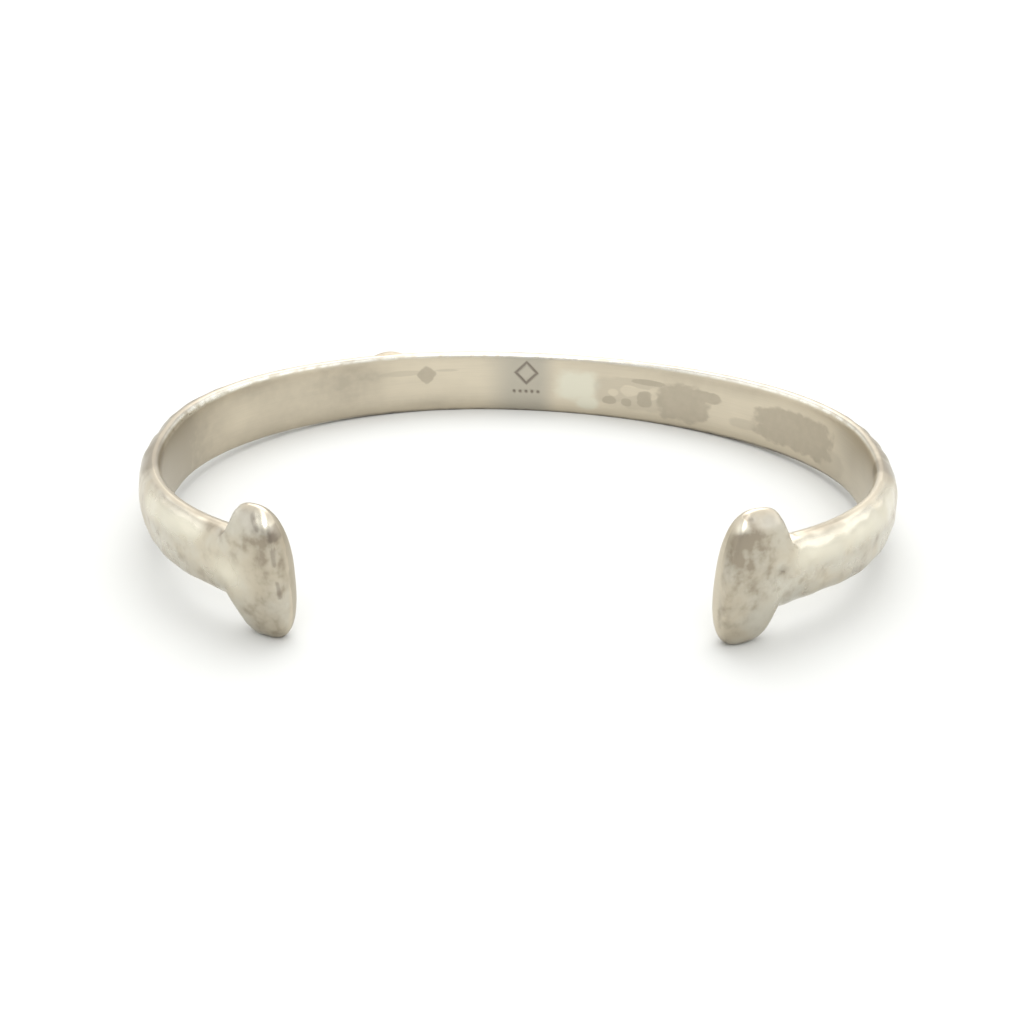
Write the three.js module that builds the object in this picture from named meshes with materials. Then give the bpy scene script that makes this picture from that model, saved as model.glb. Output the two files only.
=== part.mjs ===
// A cuff bracelet made of one piece of silver. A band with a flat inside and a domed, hammered
// outside is bent to an oval that stays open at the front, and each end is forged out into a tall
// rounded pad. The cuff lies on its side with the opening towards -Y, and stands on the feet of
// its two pads and the lower rim of its back. Lengths are in millimetres and +Z is up.
import * as THREE from "three";

// The oval, measured on the inside of the band
const innerWidth = 58; // the widest inside distance, left to right
const backDepth = 22.35; // from the widest line to the inside of the back
const frontDepth = 23.7; // from the widest line to where the oval would close at the front
const crownShift = 2.25; // how far the middle of the back lies left of the middle of the width
const openGap = 28.6; // between the tips of the two pads
const gapShift = 1.4; // how far the middle of the gap lies right of the middle of the back
const backRoundness = 2; // exponent of the back half: 2 is an ellipse
const frontRoundness = 2.4; // exponent of the front half, a little squarer

// The band
const bandHeight = 6.25; // at the back
const armHeight = 5.3; // where the band meets a pad
const armTaper = 38; // length of band over which its height grows from armHeight to bandHeight
const bandThickness = 2.08; // from the inside face to the top of the dome
const rimThickness = 0.75; // the flat rim between the inside face and the dome
const insideRoundness = 8; // exponent of the section's inner half: a flat face and a tight corner
const domeRoundness = 2.2; // exponent of the section's outer half

// The pads at the two ends
const padHeight = 10.2;
const padLength = 4.6; // along the band
const padThickness = 2.75;
const padInset = 0.4; // how far a pad stands proud of the inside face
const padRoundness = 2.6; // exponent of a pad's outline and of its section
const tipRoundness = 4; // exponent of a pad's free end, which is flatter
const heelBlend = 4.3; // length over which the pad's section turns into the band's

// What differs between the two hand-forged ends. Fillets and drop are shares of padHeight, reach
// is the heel's share of half the padLength, and swell is a share of bandThickness.
const ends = {
  left: { topFillet: 0.08, footFillet: 0.15, footReach: 1.18, footRoundness: 2, drop: 0.004, lean: 0.05, swell: 0.02 },
  right: { topFillet: 0.08, footFillet: 0.1, footReach: 0.95, footRoundness: 2.6, drop: -0.01, lean: 0.035, swell: 0.12 },
};

// Hammer marks on the dome: flat spots in a staggered row
const markSpacing = 3.6; // along the band
const markRadius = 2.9;
const markDepth = 0.13;

// One raised spot on the upper edge of the dome
const bossPlace = 0.395; // share of the way from the left tip to the right tip
const bossRadius = 1.7;
const bossRise = 0.42;

// How much metal is worn off where the cuff stands
const footWear = 0.15;

// Fineness of the facets
const sectionSides = 32;
const tipSteps = 9;
const heelSteps = 9;
const neckSteps = 5;
const neckLength = 3;
const bandStep = 1.9;

// The curve of the band's inside, from the left tip, round the back, to the right tip
class InsideOval extends THREE.Curve {
  constructor() {
    super();
    this.arcLengthDivisions = 3000;
    this.firstAngle = -this.tipAngle(-1);
    this.lastAngle = this.tipAngle(1);
  }

  halfWidth(side) {
    return innerWidth / 2 + side * crownShift;
  }

  // The angle from the middle of the back to a tip
  tipAngle(side) {
    const reach = (openGap / 2 + side * gapShift) / this.halfWidth(side);
    return Math.PI - Math.asin(reach ** (frontRoundness / 2));
  }

  getPoint(share, target = new THREE.Vector3()) {
    const angle = THREE.MathUtils.lerp(this.firstAngle, this.lastAngle, share);
    const side = angle < 0 ? -1 : 1;
    const atBack = Math.cos(angle) > 0;
    const power = 2 / (atBack ? backRoundness : frontRoundness);
    const x = side * this.halfWidth(side) * Math.abs(Math.sin(angle)) ** power;
    const depth = atBack ? backDepth : -frontDepth;
    return target.set(x, depth * Math.abs(Math.cos(angle)) ** power, 0);
  }
}

const oval = new InsideOval();
const ovalLength = oval.getLength();

const signedPower = (value, power) => Math.sign(value) * Math.abs(value) ** power;

// One quadrant of a superellipse of half-axis 1: its height at a share of its half-length
const quadrant = (share, roundness) => (1 - Math.min(share, 1) ** roundness) ** (1 / roundness);

// The larger of two heights, with a fillet where they cross
const filletedMax = (a, b, fillet) =>
  Math.max(a, b) + Math.max(fillet - Math.abs(a - b), 0) ** 2 / (4 * fillet);

// The sections' distances from the left tip: close together on the pads, wide apart on the band
function stations() {
  const halfPad = padLength / 2;
  const fromTip = [];
  for (let i = 1; i <= tipSteps; i++) {
    const turn = (i / tipSteps) * (Math.PI / 2);
    fromTip.push(halfPad * (1 - Math.cos(turn) ** (2 / tipRoundness)));
  }
  for (let i = 1; i <= heelSteps; i++) {
    const turn = (i / heelSteps) * (Math.PI / 2);
    fromTip.push(halfPad * (1 + Math.sin(turn)));
  }
  for (let i = 1; i <= neckSteps; i++) {
    fromTip.push(padLength + (i / neckSteps) * neckLength);
  }
  const bandLength = ovalLength - 2 * (padLength + neckLength);
  const steps = Math.ceil(bandLength / bandStep);
  const along = [...fromTip];
  for (let i = 1; i < steps; i++) {
    along.push(padLength + neckLength + (i / steps) * bandLength);
  }
  return [...along, ...fromTip.map((distance) => ovalLength - distance).reverse()];
}

// The half-heights, thicknesses and roundnesses of the metal's section at one station
function sectionAt(along) {
  const { smoothstep, lerp } = THREE.MathUtils;
  const isLeft = along < ovalLength / 2;
  const end = isLeft ? ends.left : ends.right;
  const halfPad = padLength / 2;
  const fromTip = Math.max(Math.min(along, ovalLength - along), 0);
  const onTip = fromTip < halfPad;
  const tipShare = (halfPad - fromTip) / halfPad;
  const heelShare = (fromTip - halfPad) / halfPad;
  const growth = smoothstep(fromTip, padLength, padLength + armTaper);
  const bandHalf = lerp(armHeight, bandHeight, growth) / 2;

  const halfHeight = (padHalf, fillet, reach, roundness) => {
    if (onTip) return padHalf * quadrant(tipShare, padRoundness);
    const heel = padHalf * quadrant(heelShare / reach, roundness);
    return filletedMax(heel, bandHalf, fillet * padHeight);
  };

  const band = smoothstep(fromTip, padLength - heelBlend / 2, padLength + heelBlend / 2);
  const blend = (onPad, onBand) => lerp(onPad, onBand, band);
  const closing = onTip ? quadrant(tipShare, tipRoundness) : 1;
  const swell = 1 + end.swell * (1 - smoothstep(fromTip, 0, ovalLength / 2));
  return {
    up: halfHeight((0.5 - end.drop) * padHeight, end.topFillet, 1, padRoundness),
    down: halfHeight((0.5 + end.drop) * padHeight, end.footFillet, end.footReach, end.footRoundness),
    middle: blend(padThickness / 2 - padInset, rimThickness),
    inward: blend(padThickness / 2, rimThickness) * closing,
    outward: blend(padThickness / 2, bandThickness * swell - rimThickness) * closing,
    insideRoundness: blend(padRoundness, insideRoundness),
    outsideRoundness: blend(padRoundness, domeRoundness),
    towardsTip: (isLeft ? -1 : 1) * end.lean * (1 - band),
  };
}

// How far a point of the dome is sunk by the hammer. The marks stagger above and below the middle.
function hammered(along, height) {
  const count = Math.floor((ovalLength - 2 * padLength) / markSpacing);
  const first = (ovalLength - (count - 1) * markSpacing) / 2;
  let sunk = 0;
  for (let i = 0; i < count; i++) {
    const markHeight = (i % 2 ? 1 : -1) * (0.16 + 0.12 * Math.sin(i * 2.3)) * bandHeight;
    const apart = Math.hypot(along - first - i * markSpacing, height - markHeight);
    sunk = Math.max(sunk, markDepth * (1 - (apart / markRadius) ** 2));
  }
  const fromBoss = Math.hypot(along - bossPlace * ovalLength, height - bandHeight / 2);
  const raised = bossRise * Math.max(1 - (fromBoss / bossRadius) ** 2, 0);
  return sunk - raised;
}

// The closed loop of points of one section, from the top of the dome upwards and round the inside
function sectionLoop(along) {
  const section = sectionAt(along);
  const share = Math.min(Math.max(along / ovalLength, 0), 1);
  const place = oval.getPointAt(share);
  const tangent = oval.getTangentAt(share);
  const outwards = new THREE.Vector3(-tangent.y, tangent.x, 0);
  const loop = [];
  for (let j = 0; j < sectionSides; j++) {
    const turn = (j / sectionSides) * 2 * Math.PI;
    const outside = Math.cos(turn) > -1e-9;
    const power = 2 / (outside ? section.outsideRoundness : section.insideRoundness);
    const across = signedPower(Math.cos(turn), power);
    const rise = signedPower(Math.sin(turn), power);
    const height = rise * (rise > 0 ? section.up : section.down);
    const sunk = outside ? hammered(along, height) : 0;
    const depth = section.middle + across * (outside ? section.outward : section.inward);
    const point = place
      .clone()
      .addScaledVector(outwards, depth - sunk * Math.max(Math.cos(turn), 0))
      .addScaledVector(tangent, -section.towardsTip * height);
    point.z = height - sunk * Math.sin(turn);
    loop.push(point);
  }
  return loop;
}

// Skins the loops into one closed surface. A tip's own section is a single point.
function skin(loops, leftTip, rightTip) {
  const positions = [...loops.flat(), leftTip, rightTip].flatMap((point) => point.toArray());
  const last = loops.length - 1;
  const left = loops.length * sectionSides;
  const right = left + 1;
  const index = (i, j) => i * sectionSides + (j % sectionSides);
  const triangles = [];
  for (let j = 0; j < sectionSides; j++) {
    for (let i = 0; i < last; i++) {
      triangles.push(index(i, j), index(i + 1, j + 1), index(i + 1, j));
      triangles.push(index(i, j), index(i, j + 1), index(i + 1, j + 1));
    }
    triangles.push(left, index(0, j + 1), index(0, j));
    triangles.push(right, index(last, j), index(last, j + 1));
  }
  const geometry = new THREE.BufferGeometry();
  geometry.setAttribute("position", new THREE.Float32BufferAttribute(positions, 3));
  geometry.setIndex(triangles);
  return geometry;
}

// Turns the cuff until the lowest points of its left pad, right pad and back lie on one level
function standOnFeet(geometry) {
  const position = geometry.getAttribute("position");
  const up = new THREE.Vector3(0, 0, 1);
  for (let round = 0; round < 6; round++) {
    const lowest = {};
    for (let i = 0; i < position.count; i++) {
      const point = new THREE.Vector3().fromBufferAttribute(position, i);
      const foot = point.y > 0 ? "back" : point.x < 0 ? "left" : "right";
      if (!lowest[foot] || point.z < lowest[foot].z) lowest[foot] = point;
    }
    const { normal } = new THREE.Plane().setFromCoplanarPoints(lowest.left, lowest.right, lowest.back);
    geometry.applyQuaternion(new THREE.Quaternion().setFromUnitVectors(normal, up));
  }
}

// Wears the metal flat where it stands
function wearFeet(geometry) {
  geometry.computeBoundingBox();
  const floor = geometry.boundingBox.min.z + footWear;
  const position = geometry.getAttribute("position");
  for (let i = 0; i < position.count; i++) {
    position.setZ(i, Math.max(position.getZ(i), floor));
  }
}

const [[leftTip], [rightTip]] = [0, ovalLength].map(sectionLoop);
const geometry = skin(stations().map(sectionLoop), leftTip, rightTip);
standOnFeet(geometry);
wearFeet(geometry);
geometry.computeVertexNormals();
geometry.computeBoundingBox();

const silver = new THREE.MeshStandardMaterial({ color: 0xc9c0af, roughness: 0.4, metalness: 1 });
const cuff = new THREE.Mesh(geometry, silver);
cuff.name = "cuff";

// The origin is on the floor, below the middle of the cuff
const middle = geometry.boundingBox.getCenter(new THREE.Vector3());
cuff.position.set(-middle.x, -middle.y, -geometry.boundingBox.min.z);

const bracelet = new THREE.Group();
bracelet.add(cuff);

export default bracelet;
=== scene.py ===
import math

import bpy
import numpy as np
from mathutils import Matrix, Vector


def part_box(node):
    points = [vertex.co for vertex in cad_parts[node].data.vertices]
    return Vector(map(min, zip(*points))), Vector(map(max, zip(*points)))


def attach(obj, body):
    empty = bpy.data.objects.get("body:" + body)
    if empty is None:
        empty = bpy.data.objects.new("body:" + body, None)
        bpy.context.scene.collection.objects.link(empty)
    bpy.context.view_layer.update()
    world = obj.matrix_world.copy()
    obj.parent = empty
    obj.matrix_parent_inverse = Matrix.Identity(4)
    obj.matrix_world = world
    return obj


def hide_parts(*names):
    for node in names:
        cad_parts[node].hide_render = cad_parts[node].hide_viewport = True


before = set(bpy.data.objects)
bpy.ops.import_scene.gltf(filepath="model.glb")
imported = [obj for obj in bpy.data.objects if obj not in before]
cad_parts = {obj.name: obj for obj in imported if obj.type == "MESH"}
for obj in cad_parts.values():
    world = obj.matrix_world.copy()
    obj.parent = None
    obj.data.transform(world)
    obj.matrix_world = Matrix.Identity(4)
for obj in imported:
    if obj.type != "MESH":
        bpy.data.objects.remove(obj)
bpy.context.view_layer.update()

# The band's line
# The real band is one strip of half-round silver, bent by hand round an oval mandrel until its
# ends face each other across the opening. This is the line that its inside face follows, in
# millimetres: half an ellipse at the back, and a squarer curve in front.
inner_width = 58.0
back_depth = 22.35
front_depth = 23.7
crown_shift = 2.25  # the back's crown lies this far to the left of the middle
open_gap = 28.6
gap_shift = 1.4  # the middle of the gap lies this far to the right of the crown
front_roundness = 2.4
line_steps = 20001


def half_width(side):
    return inner_width / 2 + side * crown_shift


def tip_angle(side):
    reach = (open_gap / 2 + side * gap_shift) / half_width(side)
    return side * (math.pi - math.asin(reach ** (front_roundness / 2)))


angle = np.linspace(tip_angle(-1), tip_angle(1), line_steps)
behind = np.cos(angle) > 0
power = np.where(behind, 1.0, 2 / front_roundness)
side = np.where(angle < 0, -1, 1)
line_x = side * half_width(side) * np.abs(np.sin(angle)) ** power
line_y = np.where(behind, back_depth, -front_depth) * np.abs(np.cos(angle)) ** power
line_along = np.append(0.0, np.cumsum(np.hypot(np.diff(line_x), np.diff(line_y))))
band_length = line_along[-1]
line_turn_x = np.gradient(line_x, line_along)
line_turn_y = np.gradient(line_y, line_along)

# The two pads and the sections between them
# Each end of the strip is upset under the hammer into a tall rounded pad, thicker than the band,
# and filed smooth where it grows out of the arm. Every section is a superellipse: nearly flat
# inside with a tight corner, and domed outside.
band_height = 6.25
arm_height = 5.3
arm_taper = 38.0
band_thickness = 2.08
rim_thickness = 0.75
inside_roundness = 4.0
dome_roundness = 2.2
pad_height = 10.2
pad_length = 4.6
pad_thickness = 2.75
pad_inset = 0.4
pad_roundness = 2.6
tip_roundness = 4.0
heel_blend = 4.3
shoulder_ease = 1.25  # how much further the pad's top runs onto the arm on the outer face
shoulder_from = 0.4  # the share of the way out at which it starts to
# Each end has its top and foot as shares of the pad's height, measured from the arm's middle, and
# so are their fillets. The reaches are shares of half the pad's length. The lean is the pad's
# slope, and the swell is the share by which the arm is thicker at that end.
left_end = {
    "top": 0.471,
    "top_fillet": 0.08,
    "top_reach": 1.0,
    "top_roundness": 2.6,
    "tip_top_roundness": 2.45,
    "foot": 0.504,
    "foot_fillet": 0.15,
    "foot_reach": 1.18,
    "foot_roundness": 2.0,
    "tip_foot_roundness": 3.3,
    "edge_roundness": 7.0,
    "lean": 0.05,
    "swell": 0.02,
}
right_end = {
    "top": 0.51,
    "top_fillet": 0.08,
    "top_reach": 1.13,
    "top_roundness": 2.8,
    "tip_top_roundness": 2.75,
    "foot": 0.49,
    "foot_fillet": 0.1,
    "foot_reach": 0.95,
    "foot_roundness": 2.6,
    "tip_foot_roundness": 3.2,
    "edge_roundness": 11.0,
    "lean": 0.035,
    "swell": 0.12,
}
mark_along = 69.6  # the middle of the punch marks
half_pad = pad_length / 2


def fade(value, low, high):
    share = np.clip((value - low) / (high - low), 0, 1)
    return share * share * (3 - 2 * share)


def quadrant(share, roundness):
    return (1 - np.clip(share, 0, 1) ** roundness) ** (1 / roundness)


def filleted_max(a, b, fillet):
    return np.maximum(a, b) + np.maximum(fillet - np.abs(a - b), 0) ** 2 / (4 * fillet)


def spaced(start, stop, step):
    return np.linspace(start, stop, max(2, int(round((stop - start) / step)) + 1))[1:]


# The sections stand closest together at the tips, on the pads and round the punch marks
tip_zone = 0.5
tip_row_count = 10
past_pad = 3.0
mark_zone = 3.2
pad_row_step = 0.125
band_row_step = 0.225
mark_row_step = 0.075
tip_rows = tip_zone * (np.arange(1, tip_row_count + 1) / tip_row_count) ** 2
pad_rows = spaced(tip_zone, pad_length + past_pad, pad_row_step)
end_rows = np.concatenate([tip_rows, pad_rows])
rows = np.concatenate(
    [
        end_rows,
        spaced(end_rows[-1], mark_along - mark_zone, band_row_step),
        spaced(mark_along - mark_zone, mark_along + mark_zone, mark_row_step),
        spaced(mark_along + mark_zone, band_length - end_rows[-1], band_row_step)[:-1],
        band_length - end_rows[::-1],
    ]
)
is_left = rows < band_length / 2


def each_end(key):
    return np.where(is_left, left_end[key], right_end[key])


from_tip = np.minimum(rows, band_length - rows)
on_tip = from_tip < half_pad
tip_share = (half_pad - from_tip) / half_pad
heel_share = (from_tip - half_pad) / half_pad
growth = fade(from_tip, pad_length, pad_length + arm_taper)
band_half = (arm_height + (band_height - arm_height) * growth) / 2
swell = 1 + each_end("swell") * (1 - fade(from_tip, 0, band_length / 2))
is_band = fade(from_tip, pad_length - heel_blend / 2, pad_length + heel_blend / 2)


def half_height(part, ease=1.0):
    pad_half = each_end(part) * pad_height
    reach = each_end(part + "_reach") * ease
    heel = pad_half * quadrant(heel_share / reach, each_end(part + "_roundness"))
    onto_band = filleted_max(heel, band_half, each_end(part + "_fillet") * pad_height * ease)
    tip = pad_half * quadrant(tip_share, each_end("tip_" + part + "_roundness"))
    return np.where(on_tip, tip, onto_band)


def blend(on_pad, on_band):
    return on_pad + (on_band - on_pad) * is_band


closing = np.where(on_tip, quadrant(tip_share, tip_roundness), 1.0)
edge_closing = np.where(on_tip, quadrant(tip_share, each_end("edge_roundness")), 1.0)
up = half_height("top")
up_outside = half_height("top", shoulder_ease)
down = half_height("foot")
middle = blend(pad_thickness / 2 - pad_inset, rim_thickness)
inward = blend(pad_thickness / 2, rim_thickness) * closing
outward = blend(pad_thickness / 2, band_thickness * swell - rim_thickness) * edge_closing
inner_round = blend(pad_roundness, inside_roundness)
outer_round = blend(pad_roundness, dome_roundness)
towards_tip = np.where(is_left, -1, 1) * each_end("lean") * (1 - is_band)

# Each section is traced finely, then given evenly spaced points, a little closer on the inside
sides = 128
trace_steps = 2881
inside_weight = 1.5
rounding = 1e-9  # so that a section's very top and bottom count as outside
fine = np.linspace(0, 2 * math.pi, trace_steps)
across = np.empty((len(rows), sides))
height = np.empty((len(rows), sides))
turn = np.empty((len(rows), sides))
for i in range(len(rows)):
    outer = np.cos(fine) > -rounding
    shape_power = 2 / np.where(outer, outer_round[i], inner_round[i])
    u = np.sign(np.cos(fine)) * np.abs(np.cos(fine)) ** shape_power
    up_here = up[i] + (up_outside[i] - up[i]) * fade(u, shoulder_from, 1.0)
    u = middle[i] + u * np.where(outer, outward[i], inward[i])
    v = np.sign(np.sin(fine)) * np.abs(np.sin(fine)) ** shape_power
    v = v * np.where(v > 0, up_here, down[i])
    step = np.hypot(np.diff(u), np.diff(v)) * np.where(outer[1:], 1.0, inside_weight)
    walked = np.append(0.0, np.cumsum(step))
    stops = np.arange(sides) / sides * walked[-1]
    across[i] = np.interp(stops, walked, u)
    height[i] = np.interp(stops, walked, v)
    turn[i] = np.interp(stops, walked, fine)
along = np.repeat(rows[:, None], sides, axis=1)
outside = fade(np.cos(turn), -0.05, 0.25)  # 0 on the flat inside, 1 on the dome

# The big hammer marks
# A row of flats left by the forging hammer, staggered above and below the middle of the dome,
# and one small raised spot on the upper edge at the back, where metal was left standing.
mark_spacing = 3.6
mark_radius = 3.1
mark_depth = 0.16
mark_offset = 0.16  # of the band's height, up and down by turns
mark_wander = 0.12  # of the band's height too
boss_along = 0.403 * band_length
boss_radius = 1.5
boss_rise = 0.38

mark_count = int((band_length - 2 * pad_length) / mark_spacing)
first_mark = (band_length - (mark_count - 1) * mark_spacing) / 2
sunk = np.zeros_like(along)
for i in range(mark_count):
    stagger = 1 if i % 2 else -1
    mark_height = stagger * (mark_offset + mark_wander * math.sin(i * 2.3)) * band_height
    apart = np.hypot(along - first_mark - i * mark_spacing, height - mark_height)
    uneven_depth = mark_depth * (0.8 + 0.3 * math.sin(i * 4.1))
    mark = uneven_depth * np.maximum(1 - (apart / mark_radius) ** 2, 0)
    sunk = filleted_max(sunk, mark, 0.5 * mark_depth)
from_boss = np.hypot(along - boss_along, height - band_height / 2)
sunk = sunk - boss_rise * np.maximum(1 - (from_boss / boss_radius) ** 2, 0)
sunk = np.where(np.cos(turn) > -rounding, sunk, 0)

# The pits
# The left pad was filed at a slant across its end, and three deep pits are left along the ridge
# between the end and the outer face. A flat was filed on each pad's upper outer corner, with a
# groove under the left one, and one more pit lies where the right arm meets its pad.
end_slant = 0.22  # millimetres back along the band for each one across it
slant_from = 0.3
# A pit's middle along, up and across the band, its half length, its half height and its depth
pits = [
    (0.45, 3.3, 2.2, 0.38, 0.65, 0.22),
    (0.22, 1.5, 2.2, 0.3, 0.7, 0.16),
    (0.12, -0.6, 2.2, 0.3, 0.9, 0.18),
    (1.75, 4.3, 2.0, 0.32, 0.5, 0.1),
    (1.25, 3.6, 2.2, 0.32, 0.6, 0.12),
    (133.76, 0.7, 2.3, 0.55, 0.3, 0.14),
]


def around(spot_along, spot_height, spot_across, half_long, half_high):
    apart = ((along - spot_along) / half_long) ** 2 + ((across - spot_across) / half_long) ** 2
    return np.exp(-apart - ((height - spot_height) / half_high) ** 2)


for *pit_shape, pit_depth in pits:
    sunk = sunk + pit_depth * around(*pit_shape)
flat_across = 1.875
flat_fillet = 0.45
flat_depth = 0.4
flat_blend = 0.4
flat_full, flat_gone = 2.2, 4.2  # distances from the tip
for flat_on_left, flat_height in ((True, 3.9), (False, 4.3)):
    above_flat = (height - flat_height + across - flat_across) / math.sqrt(2)
    on_pad = (is_left == flat_on_left) * (1 - fade(from_tip, flat_full, flat_gone))
    filed = np.minimum(filleted_max(above_flat, 0.0, flat_fillet), flat_depth)
    sunk = sunk + filed * on_pad[:, None] * fade(across - middle[:, None], 0.0, flat_blend)
slant = end_slant * np.maximum(across - middle[:, None], 0)
slant = slant * np.where(is_left, 1 - fade(from_tip, slant_from, pad_length), 0)[:, None]

# The punch marks
# The silver mark's place, inside the back, holds plain shapes only: a small square frame stood
# on its corner, and a row of dots under it, each struck with a steel punch.
punch_depth = 0.09
punch_line = 0.11
frame_reach = 1.1
frame_height = 1.15
dot_count = 5
dot_height = -0.85
dot_spacing = 0.62
dot_radius = 0.17

right_of_mark = along - mark_along
above_mark = height - frame_height
to_frame = np.abs((np.abs(right_of_mark) + np.abs(above_mark)) - frame_reach) / math.sqrt(2)
struck = 1 - fade(to_frame, punch_line * 0.6, punch_line * 1.5)
for i in range(dot_count):
    dot_along = (i - dot_count // 2) * dot_spacing
    from_dot = np.hypot(right_of_mark - dot_along, height - dot_height)
    struck = np.maximum(struck, 1 - fade(from_dot, dot_radius * 0.5, dot_radius * 1.3))
struck = struck * (np.cos(turn) < -0.2)  # on the flat inside only

# The tarnish, the dirt, and painted light and shade
# Sulphur in the air has darkened the silver in patches with sharp, creeping edges, mostly inside
# where nothing rubs it off. The rims carry a painted highlight, and dirt stays in the pits, with
# painted shade along the pads' grooves and creases.
shade_reach = 1.5  # a mark is half dark at its edge, and gone at this many times its size


def stained(patches):
    """Each patch has its middle along and up the band, its half length, its half height and
    its squareness, where 1 is a diamond and 2 an oval."""
    shade = np.zeros_like(along)
    for middle_along, middle_height, half_long, half_high, squareness in patches:
        apart = np.abs((along - middle_along) / half_long) ** squareness
        apart = apart + np.abs((height - middle_height) / half_high) ** squareness
        shade = np.maximum(shade, shade_reach - apart ** (1 / squareness))
    return np.clip(shade, 0, 1)


def streaked(streaks):
    """Each streak has its two ends, along and up the band, and its half width."""
    shade = np.zeros_like(along)
    for first_along, first_height, last_along, last_height, half_wide in streaks:
        run_along, run_height = last_along - first_along, last_height - first_height
        share = (along - first_along) * run_along + (height - first_height) * run_height
        share = np.clip(share / (run_along**2 + run_height**2), 0, 1)
        apart_along = along - first_along - share * run_along
        apart_height = height - first_height - share * run_height
        shade = np.maximum(shade, shade_reach - np.hypot(apart_along, apart_height) / half_wide)
    return np.clip(shade, 0, 1)


def clouded(patches):
    """Each cloud has its middle, half length, half height and strength, less than 0 where the
    metal is rubbed clean. It has no edge."""
    shade = np.zeros_like(along)
    for middle_along, middle_height, half_long, half_high, strength in patches:
        apart = ((along - middle_along) / half_long) ** 2
        apart = apart + ((height - middle_height) / half_high) ** 2
        shade = shade + strength * np.exp(-apart)
    return shade


# The films on the flat inside: two dark patches with small ones beside them, thinner ones round
# those with gaps in them, a paler patch, a grey zone at the punch marks and painted shade in the
# right bend. The haze with painted shade in the left bend, the painted highlights, and the dirt
# with painted crease shade on the pads and the arms come after them.
is_face = np.cos(turn) < -0.05
dark_film = is_face * stained(
    [
        (59.25, 0.95, 1.05, 0.95, 1.25),
        (86.1, -0.35, 2.75, 1.85, 3.5),
        (88.5, 0.7, 1.5, 0.6, 2.5),
        (82.4, 1.2, 1.8, 0.3, 2),
        (82.0, -0.6, 0.8, 0.85, 2.5),
        (80.1, -1.15, 0.55, 0.42, 2.5),
        (78.35, -1.1, 0.7, 0.42, 2.5),
        (98.95, -0.25, 5.05, 1.8, 3.4),
    ]
)
thin_film = is_face * stained(
    [
        (56.8, 1.2, 2.4, 0.28, 2),
        (61.4, 1.35, 1.2, 0.14, 2),
        (78.7, 0.0, 1.95, 1.3, 5),
        (80.9, 0.95, 2.2, 0.5, 3),
        (82.0, -0.9, 2.6, 0.95, 3),
        (92.6, -1.15, 1.4, 0.5, 3),
        (104.0, -1.4, 2.4, 1.2, 2),
    ]
)
thin_film = thin_film - 1.2 * stained(
    [
        (80.3, 0.1, 0.8, 0.5, 2),
        (78.7, -0.25, 0.5, 0.35, 2),
        (82.9, 0.0, 0.35, 0.5, 2),
    ]
)
pale_film = is_face * stained(
    [
        (74.9, 0.1, 2.1, 1.5, 4),
        (76.0, -1.6, 1.1, 0.8, 3),
    ]
)
grey_film_and_bend_shade = is_face * fade(along, 64.5, 68.5) * (1 - fade(along, 70.8, 73.2))
# Painted shade in the inside's right bend
grey_film_and_bend_shade = grey_film_and_bend_shade + is_face * fade(along, 103.0, 106.0) * 0.3
haze_and_bend_shade = is_face * clouded(
    [
        (51.3, 1.0, 3.6, 2.4, 0.5),
        (53.6, 1.2, 1.4, 0.6, 0.45),
        (40.6, 2.2, 2.6, 1.1, 0.4),
        (38.4, 0.0, 2.0, 1.7, -0.35),
        (59.6, -2.0, 4.4, 0.9, 0.45),
        (86.0, 2.3, 5.0, 1.1, 0.35),
        (92.5, 2.3, 3.5, 0.8, 0.25),
    ]
)
# The inside darkens towards the left, and most in the left bend, where it is painted shade
haze_and_bend_shade = haze_and_bend_shade + is_face * (1 - fade(along, 49.0, 57.0)) * 0.4
haze_and_bend_shade = haze_and_bend_shade + is_face * (1 - fade(along, 27.0, 36.0)) * 1.0
haze_and_bend_shade = haze_and_bend_shade + ~is_face * clouded(
    [
        (6.4, 2.9, 2.3, 0.7, 1.0),
        (129.0, 2.95, 3.2, 0.6, 1.0),
        (1.1, 2.3, 0.7, 1.7, 0.55),
        (137.5, 3.0, 0.6, 0.9, 0.6),
        (136.9, 3.6, 0.45, 0.5, 0.4),
        (136.4, 3.8, 0.4, 0.9, 0.35),
        (137.0, 1.7, 0.8, 0.45, 0.45),
        (136.3, 2.6, 1.8, 2.0, 0.3),
        (135.9, 0.2, 0.5, 0.4, 0.4),
        (135.4, -0.9, 0.6, 0.4, 0.35),
        (136.9, -2.6, 1.0, 0.7, -0.3),
        (133.78, 0.7, 0.45, 0.3, 0.8),
        (11.5, 1.0, 2.4, 1.0, 0.25),
        (15.5, -0.8, 2.0, 1.2, 0.25),
        (125.0, 0.4, 3.0, 0.9, 0.25),
    ]
)
haze_and_bend_shade = haze_and_bend_shade + ~is_face * (1 - fade(from_tip, 1.5, 4.5))[:, None] * 0.35
haze_and_bend_shade = np.clip(haze_and_bend_shade, 0, 1.3)
# Painted highlights: lighter, smoother metal where the arms' upper domes and the pads' filed flats
# catch the lamps, with a long band on each arm
painted_highlight = clouded(
    [
        (4.2, -0.3, 1.8, 1.2, 0.7),
        (130.6, 2.1, 1.3, 0.5, 0.8),
        (126.3, 2.3, 1.6, 0.6, 0.8),
        (8.2, 2.2, 1.6, 0.5, 0.7),
    ]
)
painted_highlight = painted_highlight + streaked([(1.4, 4.25, 0.55, 3.8, 0.28), (1.7, 4.75, 1.0, 4.7, 0.2)])
painted_highlight = painted_highlight + streaked([(137.4, 4.3, 136.9, 4.5, 0.3)])
painted_highlight = painted_highlight + 0.7 * streaked([(132.0, 1.7, 119.0, 1.9, 0.9), (14.0, 1.5, 7.5, 1.9, 0.8)])
painted_highlight = np.clip(painted_highlight, 0, 1) * ~is_face
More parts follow.
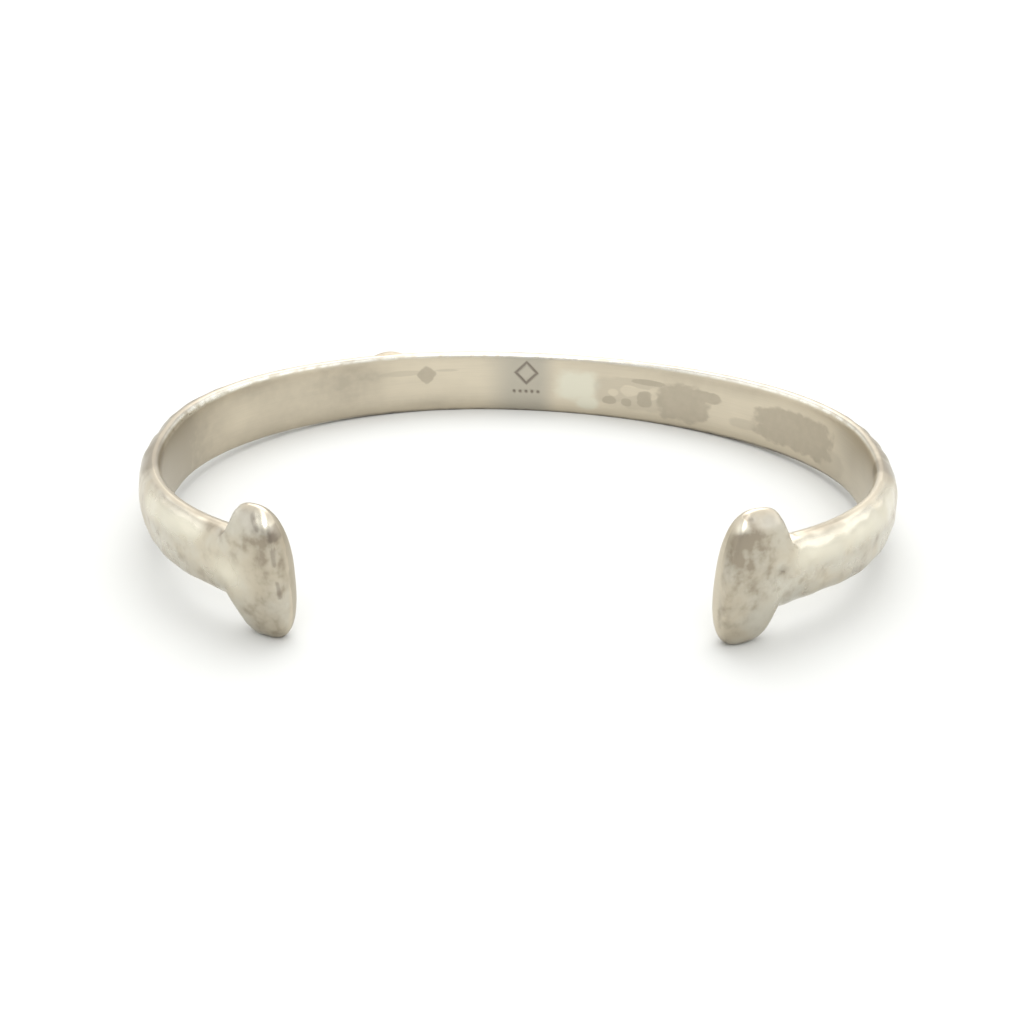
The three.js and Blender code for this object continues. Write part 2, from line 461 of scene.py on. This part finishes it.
# Dark streaks and spots: dirt in the pits, and painted shade in the groove under the left pad's flat,
# along the crease at its end and on the ridge of the right pad's top
dirt_and_crease_shade = ~is_face * streaked(
    [
        (1.95, 4.55, 1.3, 3.6, 0.22),
        (0.6, 3.7, 0.4, 2.9, 0.2),
        (0.3, 2.3, 0.2, 1.1, 0.13),
        (0.15, -0.2, 0.1, -1.4, 0.1),
        (133.7, 0.72, 133.9, 0.67, 0.14),
        (137.4, 4.85, 136.2, 5.0, 0.1),
    ]
)

# Painted contact shade along the inside's lower edge where it meets the floor, films on the rim near
# the bends and the pads, a painted highlight along the rims, brightest at the back, and a duller
# line along the upper rim
lower_edge_shade = is_face * fade(-height / down[:, None], 0.86, 0.95)
lower_edge_shade = lower_edge_shade * fade(along, 48.0, 55.0) * (1 - fade(along, 103.0, 109.0))
rim_film = stained([(20.6, 3.0, 2.9, 1.1, 2), (115.8, 3.0, 1.3, 1.1, 2)])
rim_film = rim_film + ~is_face * clouded([(7.4, 2.9, 2.2, 0.6, 0.6), (129.4, 2.95, 3.0, 0.6, 0.7)])
# A painted highlight along the inside corners of both rims, mostly the upper one, strongest at the
# back
at_back = fade(along, 19.0, 36.0) * (1 - fade(along, 102.0, 114.0))
upper_reach = height / up[:, None] + 0.1 * (1 - fade(along, 30.0, 46.0))
rim_highlight = np.maximum(fade(upper_reach, 0.84, 0.92), fade(-height / down[:, None], 0.93, 0.98))
rim_highlight = rim_highlight * (1 - fade(across, 0.28, 0.42)) * is_band[:, None] * (0.25 + 0.75 * at_back)
rim_line = fade(height / up[:, None], 0.8, 0.9) * fade(across, 0.2, 0.34) * is_band[:, None]
rim_line = rim_line * (0.6 + 0.4 * fade(across, 0.5, 0.75))
rim_line = rim_line * (fade(along, 15.0, 22.0) * (1 - fade(along, 114.0, 121.0)))

# The cuff's surface
# The sections stand across the band's line, in millimetres. The cuff is then laid down as it
# lies: turned until the lowest points of both pads and of the back touch one level, worn flat
# there by a trace, and set where the solid cuff is.
foot_wear = 0.15
levelling_rounds = 6
level_enough = 1e-12

place_x = np.interp(along, line_along, line_x)
place_y = np.interp(along, line_along, line_y)
tangent_x = np.interp(along, line_along, line_turn_x)
tangent_y = np.interp(along, line_along, line_turn_y)
tangent_size = np.hypot(tangent_x, tangent_y)
tangent_x = tangent_x / tangent_size
tangent_y = tangent_y / tangent_size
depth = across - sunk * np.maximum(np.cos(turn), 0) + punch_depth * struck
shear = slant - towards_tip[:, None] * height
points = np.stack(
    [
        place_x - tangent_y * depth + tangent_x * shear,
        place_y + tangent_x * depth + tangent_y * shear,
        height - sunk * np.sin(turn),
    ],
    axis=-1,
).reshape(-1, 3)
tips = np.stack([points[:sides].mean(axis=0), points[-sides:].mean(axis=0)])
points = np.concatenate([points, tips])


def turned_level(cuff_points):
    for _ in range(levelling_rounds):
        back = cuff_points[:, 1] > 0
        left = ~back & (cuff_points[:, 0] < 0)
        right = ~back & ~left
        feet = []
        for group in (left, right, back):
            chosen = cuff_points[group]
            feet.append(chosen[chosen[:, 2].argmin()])
        normal = np.cross(feet[1] - feet[0], feet[2] - feet[0])
        normal = normal / np.linalg.norm(normal)
        axis = np.cross(normal, [0, 0, 1])
        sine = np.linalg.norm(axis)
        if sine < level_enough:
            break
        level = np.array(Matrix.Rotation(math.asin(sine), 3, tuple(axis / sine)))
        cuff_points = cuff_points @ level.T
    return cuff_points


points = turned_level(points)
points[:, 2] = np.maximum(points[:, 2] - points[:, 2].min() - foot_wear, 0)
low, high = points.min(axis=0), points.max(axis=0)
solid_low = np.array(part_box("cuff")[0])
solid_high = np.array(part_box("cuff")[1])
points = solid_low + (points - low) / (high - low) * (solid_high - solid_low)

row = np.arange(len(rows) - 1)[:, None] * sides
column = np.arange(sides)[None, :]
beside = (column + 1) % sides
quads = np.stack([row + column, row + beside, row + sides + beside, row + sides + column], axis=-1)
last_row = (len(rows) - 1) * sides
left_tip, right_tip = len(points) - 2, len(points) - 1
faces = quads.reshape(-1, 4).tolist()
for j in range(sides):
    k = (j + 1) % sides
    faces.append([left_tip, k, j])
    faces.append([right_tip, last_row + j, last_row + k])

mesh = bpy.data.meshes.new("cuff_silver")
mesh.from_pydata(points.tolist(), [], faces)
mesh.shade_smooth()


def keep_on_points(name, values):
    whole = np.concatenate([values.ravel(), [values[0].mean(), values[-1].mean()]])
    made = mesh.attributes.new(name, "FLOAT", "POINT")
    made.data.foreach_set("value", whole.astype(np.float32))


for finish_name, finish in (
    ("outside", outside),
    ("struck", struck),
    ("dark_film", dark_film),
    ("thin_film", thin_film),
    ("pale_film", pale_film),
    ("grey_film_and_bend_shade", grey_film_and_bend_shade),
    ("haze_and_bend_shade", haze_and_bend_shade),
    ("dirt_and_crease_shade", dirt_and_crease_shade),
    ("lower_edge_shade", lower_edge_shade),
    ("rim_film", rim_film),
    ("rim_line", rim_line),
    ("rim_highlight", rim_highlight),
    ("painted_highlight", painted_highlight),
):
    keep_on_points(finish_name, finish)
band_place = np.stack([along, height, across], axis=-1).reshape(-1, 3)
band_place_whole = np.concatenate([band_place, band_place[:1], band_place[-1:]])
mesh.attributes.new("band_place", "FLOAT_VECTOR", "POINT").data.foreach_set(
    "vector", band_place_whole.astype(np.float32).ravel()
)

cuff = bpy.data.objects.new("cuff_silver", mesh)
bpy.context.scene.collection.objects.link(cuff)

# The metal
# Sterling silver with some years of wear: softly polished and slightly yellowed on the dome,
# brushed lengthwise inside, with flat grey tarnish in patches and dirt left in every punch mark.


class Field:
    """A number or colour that varies over the metal or the light. Sums and products of fields
    add their own nodes."""

    def __init__(self, tree, socket):
        self.tree = tree
        self.socket = socket

    def node(self, kind, settings=None, values=None, result=0):
        made = self.tree.nodes.new(kind)
        for name, value in (settings or {}).items():
            setattr(made, name, value)
        by_identifier = {socket.identifier: socket for socket in made.inputs}
        by_name = {socket.name: socket for socket in reversed(made.inputs)}
        for name, value in (values or {}).items():
            target = by_identifier.get(name) or by_name[name]
            if isinstance(value, Field):
                self.tree.links.new(value.socket, target)
            else:
                target.default_value = value
        if not made.outputs:
            return None
        if isinstance(result, str):
            found = {socket.identifier: socket for socket in made.outputs}
            named = {socket.name: socket for socket in reversed(made.outputs)}
            return Field(self.tree, found.get(result) or named[result])
        return Field(self.tree, made.outputs[result])

    def math(self, operation, first, second=0.0):
        inputs = {"Value": first, "Value_001": second}
        return self.node("ShaderNodeMath", {"operation": operation}, inputs)

    def __add__(self, other):
        return self.math("ADD", self, other)

    def __radd__(self, other):
        return self.math("ADD", other, self)

    def __sub__(self, other):
        return self.math("SUBTRACT", self, other)

    def __rsub__(self, other):
        return self.math("SUBTRACT", other, self)

    def __mul__(self, other):
        return self.math("MULTIPLY", self, other)

    def __rmul__(self, other):
        return self.math("MULTIPLY", other, self)

    def smooth(self, low, high):
        settings = {"interpolation_type": "SMOOTHSTEP"}
        values = {"Value": self, "From Min": low, "From Max": high}
        return self.node("ShaderNodeMapRange", settings, values)

    def colours(self, first, second):
        """One colour where this field is 0, another where it is 1."""
        values = {"Factor_Float": self, "A_Color": first, "B_Color": second}
        return self.node("ShaderNodeMix", {"data_type": "RGBA"}, values, "Result_Color")


silver = bpy.data.materials.new("worn_silver")
silver.use_nodes = True
silver_tree = silver.node_tree
silver_tree.nodes.clear()
start = Field(silver_tree, None)


def noise(vector, scale, detail, roughness=0.55):
    values = {"Vector": vector, "Scale": scale, "Detail": detail, "Roughness": roughness}
    return start.node("ShaderNodeTexNoise", {}, values, "Fac")


def stretched(vector, factors):
    values = {"Vector": vector, "Vector_001": factors}
    return start.node("ShaderNodeVectorMath", {"operation": "MULTIPLY"}, values)


def kept(name):
    return start.node("ShaderNodeAttribute", {"attribute_name": name}, {}, "Fac")


spot = start.node("ShaderNodeTexCoord", {}, {}, "Object")
place = start.node("ShaderNodeAttribute", {"attribute_name": "band_place"}, {}, "Vector")
is_outside = kept("outside")

worn_grey = (0.585, 0.555, 0.475, 1)
worn_cream = (0.565, 0.505, 0.395, 1)
# The colour of the painted highlights on the dome and the pads
highlight_silver = (0.76, 0.72, 0.60, 1)
brushed = (0.66, 0.59, 0.465, 1)
dark_silver = (0.46, 0.41, 0.325, 1)
dull_silver = (0.33, 0.285, 0.22, 1)
pale_silver = (0.71, 0.69, 0.575, 1)
grey_silver = (0.44, 0.41, 0.345, 1)
# The colour of the painted highlight along the rims
rim_highlight_silver = (0.88, 0.86, 0.78, 1)
# The darkest colour: dirt in the pits and punch marks, and also painted shade in the pads' creases
# and along the inside's lower edge
dirt_and_shade = (0.15, 0.12, 0.10, 1)

# Three sizes of unevenness over the metal, in cells to a metre, and two along the band: how far a
# film has crept at its edge, and the brush's fine scratches
cloud = noise(spot, 260.0, 3.0, 0.5)
blotch = noise(spot, 800.0, 3.0, 0.5)
mottle = noise(spot, 1500.0, 2.0, 0.5)
creep = noise(stretched(place, (0.8, 1.1, 1.0)), 1.0, 2.5, 0.5)
scratches = noise(stretched(place, (0.22, 7.0, 1.0)), 1.0, 3.0, 0.6)

# The dome is yellowed in clouds and dulled by haze, and lighter where painted highlights are laid on
dome_colour = (cloud * 0.75 + blotch * 0.25).smooth(0.38, 0.62).colours(worn_grey, worn_cream)
dome_haze = kept("haze_and_bend_shade") * (2.4 * blotch + 0.6 * mottle - 0.7)
dome_haze = dome_haze + (0.7 * blotch + 0.3 * mottle).smooth(0.47, 0.7) * 0.5
dome_colour = dome_haze.colours(dome_colour, dull_silver)
dome_colour = (kept("painted_highlight") * (0.4 + 1.1 * blotch)).colours(dome_colour, highlight_silver)

# The inside is brushed, with haze and painted shade in its bends under the films, and the thin films
# lie under the dark ones
film_edge = (creep - 0.5) * 0.6 + (mottle - 0.5) * 0.12
dark_patch = (kept("dark_film") + film_edge).smooth(0.38, 0.62)
thin_patch = (kept("thin_film") + film_edge).smooth(0.3, 0.7)
pale_patch = (kept("pale_film") + film_edge).smooth(0.2, 0.8)
drift = noise(stretched(place, (0.16, 0.35, 1.0)), 1.0, 2.0).smooth(0.3, 0.7)
inside_colour = (drift * 0.22 + (scratches - 0.5) * 0.45).colours(brushed, dark_silver)
inside_haze_and_bend_shade = kept("haze_and_bend_shade") * (1.2 * creep + 0.8 * blotch)
inside_colour = inside_haze_and_bend_shade.colours(inside_colour, dark_silver)
inside_colour = (kept("grey_film_and_bend_shade") * 0.85).colours(inside_colour, grey_silver)
inside_colour = (pale_patch * 0.85).colours(inside_colour, pale_silver)
inside_colour = (thin_patch * 0.42).colours(inside_colour, dark_silver)
inside_colour = (dark_patch * (0.55 + 0.4 * mottle)).colours(inside_colour, dark_silver)

# The rims carry a painted highlight, with films of their own, and over everything lie dirt with
# painted crease shade, and painted contact shade along the inside's lower edge
metal_colour = is_outside.colours(inside_colour, dome_colour)
# Painted highlight along the rims
rim_highlight_patch = kept("rim_highlight") * (creep * 1.5).smooth(0.3, 0.9)
metal_colour = rim_highlight_patch.colours(metal_colour, rim_highlight_silver)
rim_patch = (kept("rim_film") + film_edge).smooth(0.15, 0.75)
metal_colour = (rim_patch * 0.7).colours(metal_colour, dull_silver)
rim_line = kept("rim_line") * (0.3 + 1.3 * blotch)
metal_colour = (rim_line * 0.8).colours(metal_colour, dull_silver)
# Dirt in the pits, and painted shade along the pads' grooves and creases
dirt_and_crease_shade_patch = (kept("dirt_and_crease_shade") + (blotch - 0.5) * 0.9).smooth(0.3, 1.2)
metal_colour = (dirt_and_crease_shade_patch * 0.5).colours(metal_colour, dirt_and_shade)
# Painted contact shade along the inside's lower edge, where it meets the floor
metal_colour = (kept("lower_edge_shade") * creep * 1.1).colours(metal_colour, dirt_and_shade)
metal_colour = (kept("struck") * 0.7).colours(metal_colour, dirt_and_shade)

# Films and haze are duller than bare metal, and the brush and the hammer leave a faint relief
inside_roughness = 0.36 + 0.14 * dark_patch
outside_roughness = 0.2 + 0.16 * cloud + 0.12 * kept("haze_and_bend_shade") - 0.06 * kept("painted_highlight")
roughness = is_outside * outside_roughness + (1 - is_outside) * inside_roughness
roughness = roughness - 0.12 * rim_highlight_patch + 0.05 * rim_line
relief = (1 - is_outside) * scratches * 0.35 + is_outside * (blotch * 0.8 + cloud * 0.6)
bump_values = {"Height": relief, "Strength": 0.28, "Distance": 0.00006}
bump = start.node("ShaderNodeBump", {}, bump_values, "Normal")

metal_values = {
    "Base Color": metal_colour,
    "Metallic": 1.0,
    "Roughness": roughness,
    "Normal": bump,
}
metal = start.node("ShaderNodeBsdfPrincipled", {}, metal_values, "BSDF")
start.node("ShaderNodeOutputMaterial", {}, {"Surface": metal})
mesh.materials.append(silver)

# The planishing
# After forging, the dome and the pads were gone over with a small polished hammer. Its blows fall
# at random and overlap, and each leaves a shallow round facet. Geometry Nodes scatter the blows
# over the outside and sink the surface under them.
millimetre = 0.001
blow_passes = 3
blow_limit = 4.0e6  # to a square metre, which the spacing keeps the blows far below
seed_step = 17
softening_rounds = 8


def planishing_tree(name, passes):
    tree = bpy.data.node_groups.new(name, "GeometryNodeTree")
    tree.interface.new_socket("Geometry", in_out="INPUT", socket_type="NodeSocketGeometry")
    tree.interface.new_socket("Geometry", in_out="OUTPUT", socket_type="NodeSocketGeometry")
    for label, kind in (
        ("Blow spacing", "NodeSocketFloat"),
        ("Blow radius", "NodeSocketFloat"),
        ("Blow depth", "NodeSocketFloat"),
        ("Seed", "NodeSocketInt"),
        ("Metal", "NodeSocketMaterial"),
    ):
        tree.interface.new_socket(label, in_out="INPUT", socket_type=kind)
    nodes, links = tree.nodes, tree.links
    given = nodes.new("NodeGroupInput").outputs

    def add(kind, values, settings=None, result=0):
        made = nodes.new(kind)
        for key, value in (settings or {}).items():
            setattr(made, key, value)
        for key, value in values.items():
            socket = made.inputs[key]
            if isinstance(value, bpy.types.NodeSocket):
                links.new(value, socket)
            else:
                socket.default_value = value
        return made.outputs[result]

    def calculate(operation, first, second=0.0):
        return add("ShaderNodeMath", {0: first, 1: second}, {"operation": operation})

    outside_mask = add("GeometryNodeInputNamedAttribute", {"Name": "outside"}, {"data_type": "FLOAT"})
    shape = given["Geometry"]
    sink = 0.0
    for number in range(passes):
        seed = calculate("ADD", given["Seed"], float(number * seed_step))
        blows = add(
            "GeometryNodeDistributePointsOnFaces",
            {
                "Mesh": given["Geometry"],
                "Selection": calculate("GREATER_THAN", outside_mask, 0.5),
                "Distance Min": given["Blow spacing"],
                "Density Max": blow_limit,
                "Seed": seed,
            },
            {"distribute_method": "POISSON"},
        )
        distance = add(
            "GeometryNodeProximity", {"Geometry": blows}, {"target_element": "POINTS"}, "Distance"
        )
        share = calculate("DIVIDE", distance, given["Blow radius"])
        hollow = calculate("SUBTRACT", 1.0, calculate("MULTIPLY", share, share))
        hollow = calculate("MAXIMUM", hollow, 0.0)
        hollow = calculate("MULTIPLY", hollow, calculate("SQRT", hollow))
        sink = calculate("ADD", sink, hollow)
    blur_values = {0: sink, "Iterations": softening_rounds}
    sink = add("GeometryNodeBlurAttribute", blur_values, {"data_type": "FLOAT"})
    sink = calculate("MULTIPLY", sink, given["Blow depth"])
    sink = calculate("MULTIPLY", sink, outside_mask)
    normal = add("GeometryNodeInputNormal", {})
    offset = add(
        "ShaderNodeVectorMath",
        {0: normal, "Scale": calculate("MULTIPLY", sink, -1.0)},
        {"operation": "SCALE"},
    )
    shape = add("GeometryNodeSetPosition", {"Geometry": shape, "Offset": offset})
    shape = add("GeometryNodeRealizeInstances", {"Geometry": shape})
    shape = add("GeometryNodeSetMaterial", {"Geometry": shape, "Material": given["Metal"]})
    links.new(shape, nodes.new("NodeGroupOutput").inputs["Geometry"])
    return tree


planishing = cuff.modifiers.new("planishing", "NODES")
planishing.node_group = planishing_tree("planishing", blow_passes)
planishing_inputs = {
    "Blow spacing": 2.2 * millimetre,
    "Blow radius": 1.6 * millimetre,
    "Blow depth": 0.07 * millimetre,
    "Seed": 5,
    "Metal": silver,
}
for item in planishing.node_group.interface.items_tree:
    if item.in_out == "INPUT" and item.name in planishing_inputs:
        planishing[item.identifier] = planishing_inputs[item.name]
cuff.update_tag()
bpy.context.view_layer.update()
evaluated = cuff.evaluated_get(bpy.context.evaluated_depsgraph_get())
hammered = bpy.data.meshes.new_from_object(evaluated)
cuff.modifiers.remove(planishing)
cuff.data = hammered
hammered.name = "cuff_silver"
bpy.data.meshes.remove(mesh)

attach(cuff, "root")
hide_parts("cuff")

# The floor
# A plain white sweep of paper, flat round the cuff and curved up far away on every side, so that
# it fills the picture from any height. Its sizes are in metres.
floor_flat = 0.8
floor_reach = 2.6
floor_rise = 0.75
floor_sides = 48
floor_rings = 16

floor_mesh = bpy.data.meshes.new("floor")
floor_points = [(0.0, 0.0, 0.0)]
floor_faces = []
for i in range(floor_rings):
    ring_share = i / (floor_rings - 1)
    radius = floor_flat + (floor_reach - floor_flat) * ring_share
    for j in range(floor_sides):
        bearing = 2 * math.pi * j / floor_sides
        k = (j + 1) % floor_sides
        floor_points.append(
            (radius * math.cos(bearing), radius * math.sin(bearing), floor_rise * ring_share**2)
        )
        if i == 0:
            floor_faces.append((0, 1 + j, 1 + k))
        else:
            inner_ring = 1 + (i - 1) * floor_sides
            outer_ring = inner_ring + floor_sides
            floor_faces.append((inner_ring + j, outer_ring + j, outer_ring + k, inner_ring + k))
floor_mesh.from_pydata(floor_points, [], floor_faces)
floor_mesh.shade_smooth()
floor = bpy.data.objects.new("floor", floor_mesh)
bpy.context.scene.collection.objects.link(floor)
paper = bpy.data.materials.new("white_paper")
paper.use_nodes = True
paper_shader = paper.node_tree.nodes["Principled BSDF"]
paper_shader.inputs["Base Color"].default_value = (0.625, 0.63, 0.615, 1)
paper_shader.inputs["Roughness"].default_value = 0.9
floor_mesh.materials.append(paper)

# The light
# A white tent, brighter at its sides, and darker behind the camera and low at the back. Two soft
# lamps hang over it, one towards the back and one towards the front.
lamp_aside, lamp_up = 0.5, 0.866  # 30 degrees from straight overhead

world = bpy.data.worlds.new("white_tent")
bpy.context.scene.world = world
world.use_nodes = True
world.node_tree.nodes.clear()
tent = Field(world.node_tree, None)
direction = tent.node("ShaderNodeTexCoord", {}, {}, "Generated")
direction_x, direction_y, direction_z = (
    tent.node("ShaderNodeSeparateXYZ", {}, {"Vector": direction}, axis) for axis in "XYZ"
)
to_side = (direction_x * direction_x).smooth(0.15, 0.7)
overhead = direction_z.smooth(0.25, 0.6)
opening = (0 - direction_y).smooth(0.15, 0.75) * (1 - overhead)
back_lamp = (lamp_aside * direction_y + lamp_up * direction_z).smooth(0.78, 0.97)
front_lamp = (lamp_up * direction_z - lamp_aside * direction_y).smooth(0.9, 0.98)
low_back = direction_y.smooth(0.5, 0.95) * (1 - direction_z.smooth(0.2, 0.5))
brightness = 0.88 + 0.15 * direction_x + 0.55 * to_side - 0.5 * opening - 0.35 * low_back
brightness = brightness + 2.9 * back_lamp + 2.2 * front_lamp
background = tent.node("ShaderNodeBackground", {}, {"Color": (1, 1, 1, 1), "Strength": brightness})
tent.node("ShaderNodeOutputWorld", {}, {"Surface": background})

# The camera
# It looks down into the opening from just above, as the photographer did. Its place is in metres
# and its turns are in degrees.
camera_place = (-0.000454, -0.091317, 0.043519)
camera_tilt = 26.06
camera_heading = 0.036
camera_roll = 0.966
focal_pixels = 1150
picture_pixels = 1024

camera_data = bpy.data.cameras.new("camera")
camera = bpy.data.objects.new("camera", camera_data)
bpy.context.scene.collection.objects.link(camera)
camera_data.sensor_width = 36.0
camera_data.lens = camera_data.sensor_width * focal_pixels / picture_pixels
camera_data.clip_start = 0.005
camera_data.clip_end = 20.0
looking_down = Matrix.Rotation(math.radians(90 - camera_tilt), 4, "X")
heading = Matrix.Rotation(math.radians(camera_heading), 4, "Z")
rolled = Matrix.Rotation(math.radians(camera_roll), 4, "Z")
camera.matrix_world = Matrix.Translation(camera_place) @ heading @ looking_down @ rolled
bpy.context.scene.camera = camera
bpy.context.scene.view_settings.view_transform = "Standard"
